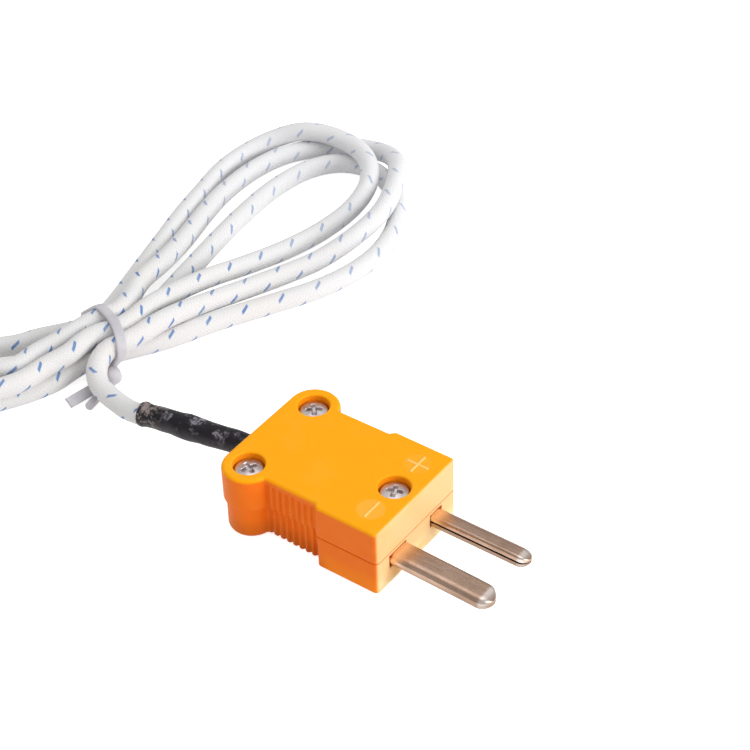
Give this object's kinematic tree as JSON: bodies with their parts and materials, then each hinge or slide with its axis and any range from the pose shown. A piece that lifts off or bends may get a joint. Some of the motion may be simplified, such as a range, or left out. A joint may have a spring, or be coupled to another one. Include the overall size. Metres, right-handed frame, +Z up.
{
  "type": "thermocouple probe",
  "caption": "Temperature probe: miniature flat-blade plug in an amber screwed housing, black strain relief, braided lead wound as a tied hank, welded bead at its tip",
  "frame": {"origin": "under the middle of the plug, on the surface that the probe lies on", "axes": "+X the way the blades point, +Y to the positive (narrow) blade, +Z up, away from the surface"},
  "size_m": [0.1145, 0.1217, 0.0097],
  "materials": {
    "housing": "amber moulded plastic, fine satin, slightly translucent",
    "screw": "plain steel, cross recess",
    "blade": "nickel alloy strip, folded, smooth",
    "sleeve": "black heat-shrink, satin, with whitish smudges",
    "braid": "white glass-fibre braid with blue tracer threads",
    "tie": "white nylon",
    "core_insulation": "lacquered glass-fibre braid",
    "core_wire": "drawn alloy wire",
    "bead": "welded, darkened"
  },
  "bodies": {
    "root": {"upper_shell": "housing", "lower_shell": "housing", "case_screw_front": "screw", "case_screw_left": "screw", "case_screw_right": "screw", "positive_terminal_screw": "screw", "negative_terminal_screw": "screw", "positive_clamp_washer": "screw", "negative_clamp_washer": "screw", "positive_blade": "blade", "negative_blade": "blade", "strain_relief": "sleeve", "tip_sleeve": "sleeve", "lead_start": "braid", "lead_hank": "braid", "lead_tail": "braid", "hank_tie": "tie", "positive_conductor": "core_insulation", "negative_conductor": "core_insulation", "tip_conductor_positive": "core_insulation", "tip_conductor_negative": "core_insulation", "positive_core_hook": "core_wire", "negative_core_hook": "core_wire", "sensing_bead": "bead"}
  },
  "joints": []
}
